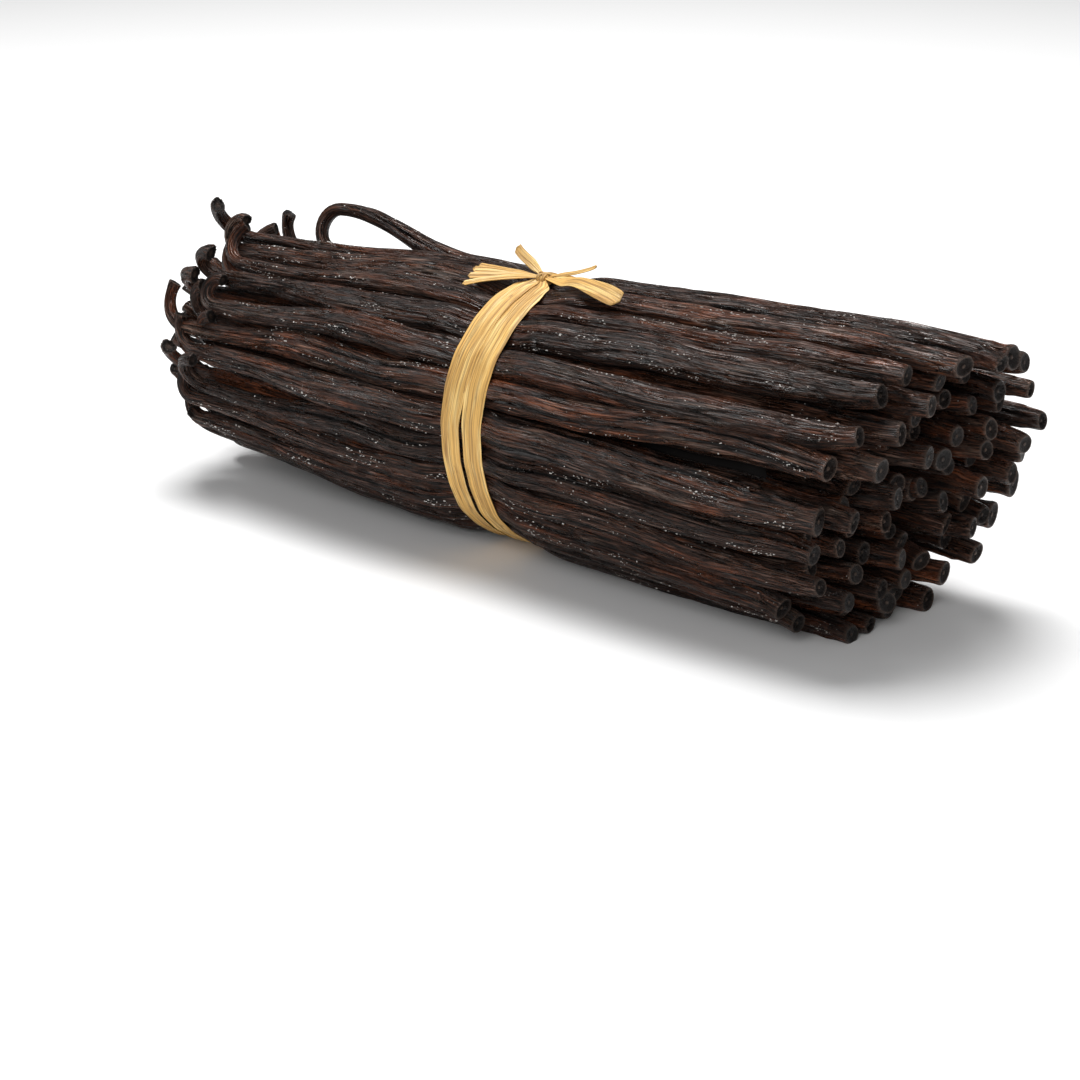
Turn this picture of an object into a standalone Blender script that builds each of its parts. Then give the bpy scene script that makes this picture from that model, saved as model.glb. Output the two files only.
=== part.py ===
"""A bundle of vanilla pods, held by one strip of raffia that goes round its middle and is knotted on top.

Metres, +Z up. +X runs along the pods towards their blunt blossom ends, and the stems curl at -X.
The pods lie close together, so they are one solid out to the bundle's uneven outline:
a fluted body with one rounded flute for each outer pod, the blunt tips at one end and the stems at the other.
"""

import math
import random
from collections import namedtuple

import bmesh
import bpy
from mathutils import Quaternion, Vector

# The bundle
BUNDLE_RADIUS = 0.0320
FLOOR_FLATTENING = 0.0018
MIDDLE_X = -0.00548
MIDDLE_Y = -0.00022
SEED = 11

# One pod
POD_WIDTH = 0.0076
POD_THICKNESS = 0.0056
RING_PITCH = 0.0052
TIP_X = 0.0955
TIP_SLANT = 0.0130
SLANT_WAY = math.radians(62)
NECK_X = -0.0860
STEM_LENGTH = 0.0145

# The one long pod on top, whose stem end lifts off the bundle and folds back under itself
TOP_POD = 4
TOP_TIP_X = 0.1090
TOP_NECK_X = -0.0700
TOP_RISE = 0.0100
TOP_RISE_FROM = -0.0270

# The fluted body
BODY_TIP_X = 0.0850
BODY_SLANT_FROM = 0.0200
BODY_STEM_X = -0.0770
BODY_STATIONS = 12
FLUTE_DEPTH = 0.0019
FLANK_DROP = 0.0005
BESIDE_TIE = 0.0012
STEMS_SHOWN = 24
TIP_ROUNDING = 0.0006
ENDS_CLEAR = 0.0003
SUNK = 0.004
SEAT = 0.75
SEAT_PITCH = 0.0036

# The raffia tie
TIE_X = 0.0
TIE_WIDTH = 0.0110
TIE_THICKNESS = 0.0007
TIE_SQUEEZE = 0.0020
TIE_SQUEEZE_REACH = 0.0100
GAP = 0.0003
KNOT_SIZE = (0.0058, 0.0056, 0.0042)
END_START = 0.0012
END_HEIGHT = 0.0017
END_ARCH = 0.0022
END_STEPS = 6

AXIS_HEIGHT = BUNDLE_RADIUS - FLOOR_FLATTENING
MIDDLE = Vector((MIDDLE_X, MIDDLE_Y, AXIS_HEIGHT))
ALONG_X = Vector((1, 0, 0))

Pod = namedtuple("Pod", "ring angle radius size tip_x neck_x drift stem hook_angle hook_turn rise")


# ---------------------------------------------------------------- helpers

def clear_scene():
    for old in list(bpy.data.objects):
        bpy.data.objects.remove(old)


def plain_material(name, colour, roughness):
    """A Principled BSDF with one colour, given as linear red, green and blue."""
    made = bpy.data.materials.new(name)
    made.use_nodes = True
    shader = made.node_tree.nodes["Principled BSDF"]
    shader.inputs["Base Color"].default_value = (*colour, 1)
    shader.inputs["Roughness"].default_value = roughness
    return made


def through(points, x):
    """Reads a smooth line through (place, value) points at x, level before the first and after the last."""
    for (x0, v0), (x1, v1) in zip(points, points[1:]):
        if x < x1:
            t = min(max((x - x0) / (x1 - x0), 0), 1)
            return v0 + (v1 - v0) * t * t * (3 - 2 * t)
    return points[-1][1]


def add_tube(bm, rows):
    """Adds a closed tube whose rings are rows, each a list of as many points. The ends are flat faces."""
    columns = len(rows[0])
    tube = bmesh.new()
    bmesh.ops.create_cone(tube, cap_ends=True, segments=columns, radius1=1, radius2=1, depth=1)
    lengthwise = [e for e in tube.edges if abs(e.verts[0].co.z - e.verts[1].co.z) > 0.5]
    if len(rows) > 2:
        bmesh.ops.subdivide_edges(tube, edges=lengthwise, cuts=len(rows) - 2)
    for v in tube.verts:
        row = round((v.co.z + 0.5) * (len(rows) - 1))
        column = round((math.atan2(v.co.y, v.co.x) / math.tau - 0.25) * columns) % columns
        v.co = rows[row][column]
    bmesh.ops.recalc_face_normals(tube, faces=tube.faces)
    mesh = bpy.data.meshes.new("tube")
    tube.to_mesh(mesh)
    tube.free()
    bm.from_mesh(mesh)
    bpy.data.meshes.remove(mesh)


def new_object(name, bm, material=None):
    mesh = bpy.data.meshes.new(name)
    bm.to_mesh(mesh)
    bm.free()
    made = bpy.data.objects.new(name, mesh)
    bpy.context.scene.collection.objects.link(made)
    if material:
        mesh.materials.append(material)
    return made


def join_solid(body, other, crossing=False):
    """Unites other with body, and keeps other as a guide that isn't built. crossing: its parts overlap."""
    union = body.modifiers.new("join " + other.name, "BOOLEAN")
    union.operation = "UNION"
    union.object = other
    union.use_self = crossing
    other.hide_render = True
    other.display_type = "WIRE"


# ---------------------------------------------------------------- how the pods lie

def bundle_radius(x):
    """The bundle spreads towards its tips, gathers towards the stems, and is squeezed where it is tied."""
    free = through(
        [
            (-0.090, 0.840 * BUNDLE_RADIUS),
            (-0.020, 0.955 * BUNDLE_RADIUS),
            (0.095, 1.070 * BUNDLE_RADIUS),
        ],
        x,
    )
    return free - tie_squeeze(x)


def tie_squeeze(x):
    """How far the tie presses the pods in at x. Their underside rises as much, for the raffia below."""
    return TIE_SQUEEZE * math.exp(-(((x - TIE_X) / TIE_SQUEEZE_REACH) ** 4))


def slant(radius, angle):
    """How much further the tips reach at one side than in the middle, as if the bundle was cut on a slant."""
    return TIP_SLANT * radius / BUNDLE_RADIUS * math.cos(angle - SLANT_WAY)


def lay_out_pods():
    """Every pod, ring by ring from the outside in: where it lies and how it differs from its neighbours."""
    chance = random.Random(SEED)
    pods = []
    ring = 0
    radius = BUNDLE_RADIUS - POD_THICKNESS / 2
    while radius > -POD_THICKNESS / 2:
        count = max(1, int(math.tau * radius / POD_WIDTH))
        for n in range(count):
            angle = math.tau * (n + 0.5 * ((ring + 1) % 2) + chance.uniform(-0.10, 0.10)) / count
            upward = math.radians(chance.uniform(35, 145))
            pods.append(
                Pod(
                    ring=ring,
                    angle=angle,
                    radius=radius + chance.uniform(-0.0004, 0.0004),
                    size=chance.uniform(0.88, 1.10),
                    tip_x=TIP_X + slant(radius, angle) + chance.uniform(-0.0050, 0.0050),
                    neck_x=NECK_X + chance.uniform(-0.0045, 0.0060),
                    drift=math.radians(chance.uniform(-2.5, 2.5)),
                    stem=STEM_LENGTH * chance.uniform(0.7, 1.15),
                    hook_angle=upward,
                    hook_turn=math.radians(chance.uniform(80, 200) if ring < 2 else chance.uniform(20, 80)),
                    rise=0.0,
                )
            )
        radius -= RING_PITCH
        ring += 1
    top = pods[TOP_POD]
    pods[TOP_POD] = top._replace(
        size=1.0,
        tip_x=TOP_TIP_X,
        neck_x=TOP_NECK_X,
        drift=0.0,
        stem=STEM_LENGTH,
        hook_angle=top.angle + math.pi,
        hook_turn=math.radians(165),
        rise=TOP_RISE,
    )
    return pods


def pod_angle(pod, x):
    """Where a pod lies round the bundle at x. Pods aren't quite parallel."""
    return pod.angle + pod.drift * x / TIP_X


def place_on_pod(pod, s):
    """The middle of a pod and the two axes of its section, s metres from its blunt tip."""
    straight = pod.tip_x - pod.neck_x
    x = pod.tip_x - min(s, straight)
    angle = pod_angle(pod, x)
    outward = Vector((0, math.cos(angle), math.sin(angle)))
    sideways = Vector((0, -math.sin(angle), math.cos(angle)))
    lift = through([(pod.neck_x, pod.rise), (TOP_RISE_FROM, 0.0)], x)
    centre = MIDDLE + ALONG_X * x + outward * (pod.radius * bundle_radius(x) / BUNDLE_RADIUS + lift)
    centre.z = max(centre.z, tie_squeeze(x) + SEAT * POD_THICKNESS / 2 + SEAT_PITCH * pod.ring)
    if s > straight:
        hook_way = Vector((0, math.cos(pod.hook_angle), math.sin(pod.hook_angle)))
        bend = pod.hook_turn * (s - straight) / pod.stem
        bend_radius = pod.stem / pod.hook_turn
        centre += (hook_way * (1 - math.cos(bend)) - ALONG_X * math.sin(bend)) * bend_radius
        turn = Quaternion((-ALONG_X).cross(hook_way), bend)
        outward = turn @ outward
        sideways = turn @ sideways
    return centre, outward, sideways


def pod_share(pod, s):
    """A pod's width s metres from its blunt tip, as a share of its full width."""
    straight = pod.tip_x - pod.neck_x
    return pod.size * through(
        [
            (0.000, 0.66),
            (0.010, 0.80),
            (0.030, 1.00),
            (straight - 0.045, 0.96),
            (straight - 0.012, 0.60),
            (straight + 0.003, 0.46),
            (straight + pod.stem, 0.43),
        ],
        s,
    )


def pod_section(pod, s):
    """Half a pod's width and thickness. It is flattened in the middle of its length and round at its ends."""
    share = pod_share(pod, s)
    half_width = POD_WIDTH / 2 * share
    return half_width, max(POD_THICKNESS / 2 * share, half_width * (1.08 - 0.34 * share))


def pod_ring(pod, s, columns, shrink=1.0):
    """The points round a pod's section, kept just clear of the floor."""
    centre, outward, sideways = place_on_pod(pod, s)
    half_width, half_thickness = pod_section(pod, s)
    points = []
    for n in range(columns):
        way = math.tau * n / columns
        from_middle = sideways * half_width * math.cos(way) + outward * half_thickness * math.sin(way)
        p = centre + from_middle * shrink
        p.z = max(p.z, ENDS_CLEAR)
        points.append(p)
    return points


# ---------------------------------------------------------------- the pods

def body_ring(outer, x):
    """The outline at x: a crest, a flank, a valley and a flank for each outer pod, flat where it rests."""
    slanted = through([(BODY_SLANT_FROM, 0.0), (BODY_TIP_X, 1.0)], x)
    crests = []
    for pod in outer:
        angle = pod_angle(pod, x)
        here = x + slanted * slant(BUNDLE_RADIUS, angle)
        lying = pod.radius * bundle_radius(here) / BUNDLE_RADIUS
        crests.append((angle, lying + pod_section(pod, pod.tip_x - here)[1]))
    points = []
    for n, (angle, radius) in enumerate(crests):
        next_angle, next_radius = crests[(n + 1) % len(crests)]
        step = (next_angle - angle) % math.tau
        flank = (radius + next_radius) / 2 - FLANK_DROP
        valley = min(radius, next_radius) - FLUTE_DEPTH
        for share, r in ((0.0, radius), (0.27, flank), (0.5, valley), (0.73, flank)):
            way = angle + share * step
            here = x + slanted * slant(BUNDLE_RADIUS, way)
            points.append(MIDDLE + Vector((here, r * math.cos(way), r * math.sin(way))))
    for p in points:
        p.z = max(p.z, tie_squeeze(p.x - MIDDLE_X))
    return points


def body_stations():
    """Places along the body, with more of them beside the tie."""
    step = (BODY_TIP_X - BODY_STEM_X) / (BODY_STATIONS - 1)
    even = [BODY_STEM_X + step * n for n in range(BODY_STATIONS)]
    beside = TIE_WIDTH / 2 + BESIDE_TIE
    far = TIE_SQUEEZE_REACH * 1.35
    kept = [x for x in even if abs(x - TIE_X) > far + TIE_WIDTH / 4]
    return sorted(kept + [TIE_X - far, TIE_X - beside, TIE_X + beside, TIE_X + far])


def make_pods(material):
    pods = lay_out_pods()
    outer = [p for p in pods if p.ring == 0]
    body = bmesh.new()
    add_tube(body, [body_ring(outer, x) for x in body_stations()])
    solid = new_object("vanilla_pods", body, material)

    tips = bmesh.new()
    for pod in pods:
        body_end = BODY_TIP_X + slant(pod.radius, pod.angle)
        sides = 8 if pod.ring == 0 else 6
        rows = [
            pod_ring(pod, pod.tip_x - body_end + SUNK, sides, 0.94),
            pod_ring(pod, TIP_ROUNDING, sides),
            pod_ring(pod, 0.0, sides, 0.8),
        ]
        add_tube(tips, rows)
    join_solid(solid, new_object("tips", tips), crossing=True)

    for n, pod in enumerate(pods[:STEMS_SHOWN]):
        stem = bmesh.new()
        add_tube(stem, [pod_ring(pod, s, 6) for s in stem_stations(pod)])
        join_solid(solid, new_object(f"stem_{n}", stem))
    return solid


def stem_stations(pod):
    """Places along a pod's free end: from just inside the body, along any lifted part, round the hook."""
    straight = pod.tip_x - pod.neck_x
    if pod.rise:
        start = pod.tip_x - TOP_RISE_FROM
        leading = [start + (straight - start) * share for share in (0, 0.3, 0.6, 0.85)]
    else:
        leading = [pod.tip_x - BODY_STEM_X - SUNK]
    return leading + [straight + pod.stem * share for share in (0, 0.25, 0.5, 0.75, 1)]


# ---------------------------------------------------------------- the raffia tie

def strip(bm, middles, widths, sideways, thickness):
    """Adds a flat strip along middles. sideways is the way across it, and its thickness is square to that."""
    rows = []
    for n, middle in enumerate(middles):
        ahead = middles[min(n + 1, len(middles) - 1)] - middles[max(n - 1, 0)]
        across = (sideways - sideways.project(ahead)).normalized() * widths[n] / 2
        up = ahead.cross(across).normalized() * thickness / 2
        rows.append([middle + across + up, middle - across + up, middle - across - up, middle + across - up])
    add_tube(bm, rows)


def band_ring(radius, rest, x, count=44):
    points = []
    for n in range(count):
        way = math.tau * n / count
        p = MIDDLE + Vector((x, radius * math.cos(way), radius * math.sin(way)))
        p.z = max(p.z, rest)
        points.append(p)
    return points


def make_band(material):
    """The strip round the bundle: a ring that lies on the outer pods' crests and passes under them."""
    outer = [p for p in lay_out_pods() if p.ring == 0]
    left, right = TIE_X - TIE_WIDTH / 2, TIE_X + TIE_WIDTH / 2
    crest = max((p - MIDDLE - ALONG_X * x).length for x in (left, right) for p in body_ring(outer, x))
    inner = crest + GAP
    rest = TIE_SQUEEZE * 0.90 - GAP
    bm = bmesh.new()
    add_tube(bm, [band_ring(inner + TIE_THICKNESS, rest - TIE_THICKNESS, x) for x in (left, right)])
    tie = new_object("raffia_tie", bm, material)
    hole = bmesh.new()
    margin = TIE_WIDTH
    add_tube(hole, [band_ring(inner, rest, x) for x in (left - margin, right + margin)])
    cutter = new_object("band_hole", hole)
    cut = tie.modifiers.new("hole", "BOOLEAN")
    cut.operation = "DIFFERENCE"
    cut.object = cutter
    cutter.hide_render = True
    cutter.display_type = "WIRE"
    return tie, inner


def make_tie(material):
    tie, inner = make_band(material)
    knot_height = MIDDLE.z + inner + KNOT_SIZE[2] * 0.42

    knot = bmesh.new()
    bmesh.ops.create_icosphere(knot, subdivisions=2, radius=0.5)
    bmesh.ops.scale(knot, vec=KNOT_SIZE, verts=knot.verts)
    bmesh.ops.translate(knot, vec=(TIE_X + MIDDLE_X, MIDDLE_Y, knot_height), verts=knot.verts)
    join_solid(tie, new_object("knot", knot))

    for name, way, length, width, lift in (
        ("fan_front", 213, 0.0172, 0.0032, 0.0002),
        ("fan_back", 199, 0.0155, 0.0032, 0.0005),
        ("short_end", 158, 0.0105, 0.0022, 0.0034),
        ("loop", -14, 0.0262, 0.0046, 0.0000),
        ("thin_end", 10, 0.0125, 0.0014, 0.0022),
    ):
        bm = bmesh.new()
        strip(bm, *tail_line(way, length, width, lift, knot_height), TIE_THICKNESS)
        join_solid(tie, new_object(name, bm))
    return tie


def tail_line(way, length, width, lift, knot_height):
    """A loose end that leaves the knot, arches a little and comes down on the round of the bundle."""
    heading = math.radians(way)
    ahead = Vector((math.cos(heading), math.sin(heading), 0))
    middles = []
    widths = []
    for n in range(END_STEPS + 1):
        t = n / END_STEPS
        p = Vector((TIE_X + MIDDLE_X, MIDDLE_Y, 0)) + ahead * (END_START + length * t)
        off_axis = p.y - MIDDLE_Y
        surface = MIDDLE.z + math.sqrt(bundle_radius(p.x - MIDDLE_X) ** 2 - off_axis**2) + END_HEIGHT
        arch = END_ARCH * math.sin(math.pi * min(t * 1.2, 1)) + lift * t
        p.z = max(knot_height * (1 - t) + surface * t + arch, surface)
        middles.append(p)
        widths.append(END_START + (width - END_START) * min(1, 2.2 * t))
    return middles, widths, Vector((-math.sin(heading), math.cos(heading), 0))


clear_scene()
pod_skin = plain_material("pod_skin", (0.030, 0.017, 0.012), 0.42)
raffia = plain_material("raffia", (0.60, 0.39, 0.16), 0.60)
make_pods(pod_skin)
make_tie(raffia)
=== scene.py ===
"""A thick bundle of cured vanilla pods, tied round its middle with raffia, on a pale floor.

Metres, +Z up. The pods run along X, with their blunt blossom ends at +X and their curled stems at -X.
"""

import math
import random
from collections import namedtuple

import bmesh
import bpy
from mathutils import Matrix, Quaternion, Vector, noise


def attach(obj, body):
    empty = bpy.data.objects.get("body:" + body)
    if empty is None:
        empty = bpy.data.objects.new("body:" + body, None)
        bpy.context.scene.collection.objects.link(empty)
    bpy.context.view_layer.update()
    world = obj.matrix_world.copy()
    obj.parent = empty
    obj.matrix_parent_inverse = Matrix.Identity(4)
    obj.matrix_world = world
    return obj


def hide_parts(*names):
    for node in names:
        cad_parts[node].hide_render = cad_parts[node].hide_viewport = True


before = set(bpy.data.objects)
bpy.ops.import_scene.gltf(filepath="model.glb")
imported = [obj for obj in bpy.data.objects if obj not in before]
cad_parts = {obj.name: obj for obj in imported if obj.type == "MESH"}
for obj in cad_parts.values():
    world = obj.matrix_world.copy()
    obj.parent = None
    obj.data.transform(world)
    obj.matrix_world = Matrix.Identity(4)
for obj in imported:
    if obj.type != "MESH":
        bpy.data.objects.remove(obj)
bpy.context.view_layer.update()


# ---------------------------------------------------------------- the outer pods
# Vanilla pods are long seed capsules, sweated and dried until they are dark, oily and finely wrinkled.
# They lie side by side in rings, held only by the tie. The outer ring is what shows, so it is the finest:
# each pod is a grid rolled up along its own line, from the scar at its blunt tip to the cut end of its stem.

BUNDLE_RADIUS = 0.0320
FLOOR_FLATTENING = 0.0018
MIDDLE = Vector((-0.00548, -0.00022, BUNDLE_RADIUS - FLOOR_FLATTENING))
ALONG_X = Vector((1, 0, 0))
POD_WIDTH = 0.0076
POD_THICKNESS = 0.0056
RING_PITCH = 0.0052
TIP_X = 0.0955
TIP_SLANT = 0.0130
SLANT_WAY = math.radians(62)
NECK_X = -0.0860
STEM_LENGTH = 0.0145
SEAT = 0.75
SEAT_PITCH = 0.0036
TIE_X = 0.0
TIE_SQUEEZE = 0.0020
TIE_SQUEEZE_REACH = 0.0100
TOP_POD = 4
TOP_TIP_X = 0.1090
TOP_NECK_X = -0.0700
TOP_RISE = 0.0100
TOP_RISE_FROM = -0.0270
LEAN_REACH = 0.016
SWAY = 0.0010
SINK = 0.0011
DISH_DEPTH = 0.0009
FOLD_DEPTH = 0.00046
FINE_DEPTH = 0.00022
CREASE_DEPTH = 0.00075
LUMP_HEIGHT = 0.00036
POD_PIECES = 8
POD_COLUMNS = 64
BODY_STEP = 0.0015
TIP_STEP = 0.0007
STEM_ROWS = 26

Pod = namedtuple("Pod", "ring angle radius size tip_x neck_x drift stem hook_angle hook_turn rise")
Looks = namedtuple("Looks", "seed tone dish flare lean_way lean collar creases knob")


def through(points, x):
    """Reads a smooth line through (place, value) points at x. It is level before the first and after the last."""
    for (x0, v0), (x1, v1) in zip(points, points[1:]):
        if x < x1:
            t = min(max((x - x0) / (x1 - x0), 0), 1)
            return v0 + (v1 - v0) * t * t * (3 - 2 * t)
    return points[-1][1]


def near_tie(x, reach):
    """1 under the tie, and 0 further from it than about reach."""
    return math.exp(-(((x - TIE_X) / reach) ** 4))


def bundle_radius(x):
    """The bundle spreads towards its tips, gathers towards the stems, and is squeezed where it is tied."""
    free = through(
        [
            (-0.090, 0.840 * BUNDLE_RADIUS),
            (-0.020, 0.955 * BUNDLE_RADIUS),
            (0.095, 1.070 * BUNDLE_RADIUS),
        ],
        x,
    )
    return free - TIE_SQUEEZE * near_tie(x, TIE_SQUEEZE_REACH)


def slant(radius, angle):
    """How much further the tips reach at one side of the bundle than in its middle."""
    return TIP_SLANT * radius / BUNDLE_RADIUS * math.cos(angle - SLANT_WAY)


def lay_out_pods():
    """Every pod, ring by ring from the outside in: where it lies and how it differs from its neighbours."""
    chance = random.Random(11)
    laid = []
    ring = 0
    radius = BUNDLE_RADIUS - POD_THICKNESS / 2
    while radius > -POD_THICKNESS / 2:
        count = max(1, int(math.tau * radius / POD_WIDTH))
        for n in range(count):
            angle = math.tau * (n + 0.5 * ((ring + 1) % 2) + chance.uniform(-0.10, 0.10)) / count
            upward = math.radians(chance.uniform(35, 145))
            laid.append(
                Pod(
                    ring=ring,
                    angle=angle,
                    radius=radius + chance.uniform(-0.0004, 0.0004),
                    size=chance.uniform(0.88, 1.10),
                    tip_x=TIP_X + slant(radius, angle) + chance.uniform(-0.0050, 0.0050),
                    neck_x=NECK_X + chance.uniform(-0.0045, 0.0060),
                    drift=math.radians(chance.uniform(-2.5, 2.5)),
                    stem=STEM_LENGTH * chance.uniform(0.7, 1.15),
                    hook_angle=upward,
                    hook_turn=math.radians(chance.uniform(80, 200) if ring < 2 else chance.uniform(20, 80)),
                    rise=0.0,
                )
            )
        radius -= RING_PITCH
        ring += 1
    top = laid[TOP_POD]
    laid[TOP_POD] = top._replace(
        size=1.0,
        tip_x=TOP_TIP_X,
        neck_x=TOP_NECK_X,
        drift=0.0,
        stem=STEM_LENGTH,
        hook_angle=top.angle + math.pi,
        hook_turn=math.radians(165),
        rise=TOP_RISE,
    )
    return laid


def give_looks(laid):
    """What makes each pod itself: its wrinkles, the shade of its skin, the form of its tip and of its stem's end."""
    chance = random.Random(5)
    looks = []
    for number, pod in enumerate(laid):
        crease_count = chance.choice((1, 2, 2, 3))
        creases = [(chance.uniform(0, math.tau), chance.uniform(0.6, 1.0)) for _ in range(crease_count)]
        looks.append(
            Looks(
                seed=number * 3.7,
                tone=chance.uniform(0, 1),
                dish=chance.uniform(0.25, 1.3),
                flare=chance.uniform(0.86, 1.04),
                lean_way=chance.uniform(0, math.tau),
                lean=math.radians(chance.uniform(0, 17)),
                collar=chance.uniform(0.0, 0.09),
                creases=creases,
                knob=chance.uniform(0.05, 0.30),
            )
        )
    looks[TOP_POD] = looks[TOP_POD]._replace(dish=1.2, flare=1.18, collar=0.10, lean=0.0, tone=0.5)
    return looks


def place_on_pod(pod, look, s):
    """The middle of a pod and the two axes of its section, s metres from its blunt tip."""
    straight = pod.tip_x - pod.neck_x
    x = pod.tip_x - min(s, straight)
    loose = 1 - near_tie(x, 0.022)
    sway = SWAY * loose * noise.noise(Vector((x / 0.034, look.seed, 0.5)))
    sink = SINK * loose * (noise.noise(Vector((x / 0.050, look.seed, 7.5))) - 0.15)
    angle = pod.angle + pod.drift * x / TIP_X + sway / BUNDLE_RADIUS * 2
    outward = Vector((0, math.cos(angle), math.sin(angle)))
    sideways = Vector((0, -math.sin(angle), math.cos(angle)))
    lift = through([(pod.neck_x, pod.rise), (TOP_RISE_FROM, 0.0)], x) + min(sink, 0.0)
    centre = MIDDLE + ALONG_X * x + outward * (pod.radius * bundle_radius(x) / BUNDLE_RADIUS + lift)
    seat = TIE_SQUEEZE * near_tie(x, TIE_SQUEEZE_REACH) + SEAT * POD_THICKNESS / 2 + SEAT_PITCH * pod.ring
    centre.z = max(centre.z, seat)
    if s > straight:
        hook_way = Vector((0, math.cos(pod.hook_angle), math.sin(pod.hook_angle)))
        bend = pod.hook_turn * (s - straight) / pod.stem
        bend_radius = pod.stem / pod.hook_turn
        centre += (hook_way * (1 - math.cos(bend)) - ALONG_X * math.sin(bend)) * bend_radius
        turn = Quaternion((-ALONG_X).cross(hook_way), bend)
        outward = turn @ outward
        sideways = turn @ sideways
    elif s < LEAN_REACH:
        share = (LEAN_REACH - s) / LEAN_REACH
        lean_to = Vector((0, math.cos(look.lean_way), math.sin(look.lean_way)))
        centre += lean_to * (look.lean * LEAN_REACH / 3 * share**3)
        turn = Quaternion(ALONG_X.cross(lean_to), look.lean * share**2)
        outward = turn @ outward
        sideways = turn @ sideways
    return centre, outward, sideways


def pod_section(pod, look, s):
    """Half a pod's width and thickness. It is flattened in the middle of its length and round at its ends."""
    straight = pod.tip_x - pod.neck_x
    full = straight + pod.stem
    share = pod.size * through(
        [
            (0.0000, 0.72 * look.flare),
            (0.0022, 0.70),
            (0.0090, 0.82),
            (0.0280, 1.00),
            (straight - 0.045, 0.96),
            (straight - 0.012, 0.60),
            (straight + 0.003, 0.46),
            (full - 0.0025, 0.42),
            (full, 0.42 * (1 + look.knob)),
        ],
        s,
    )
    share *= 1 + look.collar * math.exp(-(((s - 0.0052) / 0.0009) ** 2))
    share *= 1 + 0.08 * noise.noise(Vector((s / 0.011, look.seed, 3.5))) * (1 - near_tie(pod.tip_x - s, 0.012))
    half_width = POD_WIDTH / 2 * share
    return half_width, max(POD_THICKNESS / 2 * share, half_width * (1.08 - 0.34 * share))


def wrinkle(look, s, way):
    """How deep the skin is folded at a place: (sunk in metres, 0 to 1 for how far down a groove it is)."""
    c, n = math.cos(way), math.sin(way)
    fold = abs(noise.noise(Vector((s * 30 + look.seed, 2.4 * c, 2.4 * n))))
    fine = abs(noise.noise(Vector((s * 52 - look.seed, 5.2 * c, 5.2 * n))))
    fold = max(0.0, 1 - fold / 0.13) ** 2
    fine = max(0.0, 1 - fine / 0.20)
    crease = 0.0
    for angle, depth in look.creases:
        line = angle + 0.55 * noise.noise(Vector((s * 22, look.seed, angle)))
        apart = (way - line + math.pi) % math.tau - math.pi
        crease = max(crease, depth * math.exp(-((apart / 0.13) ** 2)))
    lumps = noise.noise(Vector((s * 95 + look.seed, 1.3 * c, 1.3 * n)))
    sunk = FOLD_DEPTH * fold + FINE_DEPTH * fine + CREASE_DEPTH * crease + LUMP_HEIGHT * lumps
    return sunk, min(1.0, 0.65 * fold + 0.25 * fine + 0.85 * crease)


def skin_point(pod, look, s, way, place, section, shrink=1.0):
    """A point on a pod's skin, and how far down a groove it is."""
    centre, outward, sideways = place
    half_width, half_thickness = section
    sunk, groove = wrinkle(look, s, way)
    calm = through([(-0.001, 0.0), (0.0004, 0.25), (0.0035, 1.0)], s)
    calm *= min(1.0, half_width / (POD_WIDTH * 0.42))
    calm *= 1 - 0.55 * near_tie(pod.tip_x - s, 0.008)
    tip_share = math.exp(-s / 0.006)
    threefold = 0.05 * (1 - tip_share) * math.cos(3 * way + look.seed + s * 18)
    twofold = (0.04 + 0.05 * tip_share) * math.cos(2 * way + look.seed * 2 - s * 25)
    bulge = 1 + threefold + twofold
    size = shrink * (bulge - sunk * calm / half_width)
    from_middle = sideways * half_width * math.cos(way) + outward * half_thickness * math.sin(way)
    point = centre + from_middle * size
    rest = TIE_SQUEEZE * near_tie(point.x - MIDDLE.x, TIE_SQUEEZE_REACH)
    point.z = max(point.z, rest)
    return point, groove * calm


def pod_stations(pod, look, body_step, tip_step, stem_rows):
    """The rings of a pod as (s, share of the section, how much it is a cut or scarred end)."""
    depth = DISH_DEPTH * look.dish
    stations = [(depth * 0.40, 0.0, 1.0), (depth * 0.46, 0.12, 1.0), (depth, 0.27, 0.80)]
    stations += [(depth * 0.92, 0.46, 0.80), (depth * 0.55, 0.66, 0.75), (depth * 0.18, 0.80, 0.65)]
    stations += [(0.00006, 0.89, 0.50), (0.00030, 0.96, 0.40), (0.00075, 1.0, 0.2)]
    straight = pod.tip_x - pod.neck_x
    s = 0.0011
    while s < 0.012:
        stations.append((s, 1.0, 0.0))
        s += tip_step
    while s < straight - 0.014:
        stations.append((s, 1.0, 0.0))
        s += body_step
    full = straight + pod.stem
    start = s
    for n in range(stem_rows):
        stations.append((start + (full - 0.0004 - start) * n / (stem_rows - 1), 1.0, 0.0))
    stations += [(full - 0.0001, 0.96, 0.5), (full, 0.82, 0.7)]
    stations += [(full - 0.0003, 0.50, 0.9), (full - 0.0004, 0.0, 1.0)]
    return stations


def add_grid(bm, columns, rows, lane):
    """A grid to roll up. lane is the first and last place of the grid across the piece's UV map."""
    uv = bm.loops.layers.uv["OFBake"]
    made = bmesh.ops.create_grid(bm, x_segments=columns, y_segments=rows - 1, size=0.5, calc_uvs=True)["verts"]
    low, high = lane
    for face in {f for v in made for f in v.link_faces}:
        for loop in face.loops:
            across, along = loop[uv].uv
            loop[uv].uv = (0.01 + 0.98 * along, low + (high - low) * across)
    return made


def lane_of(number, count):
    """The share of the UV map that one of count pods or strips gets, with a small margin."""
    return (number + 0.01) / count, (number + 0.99) / count


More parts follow.
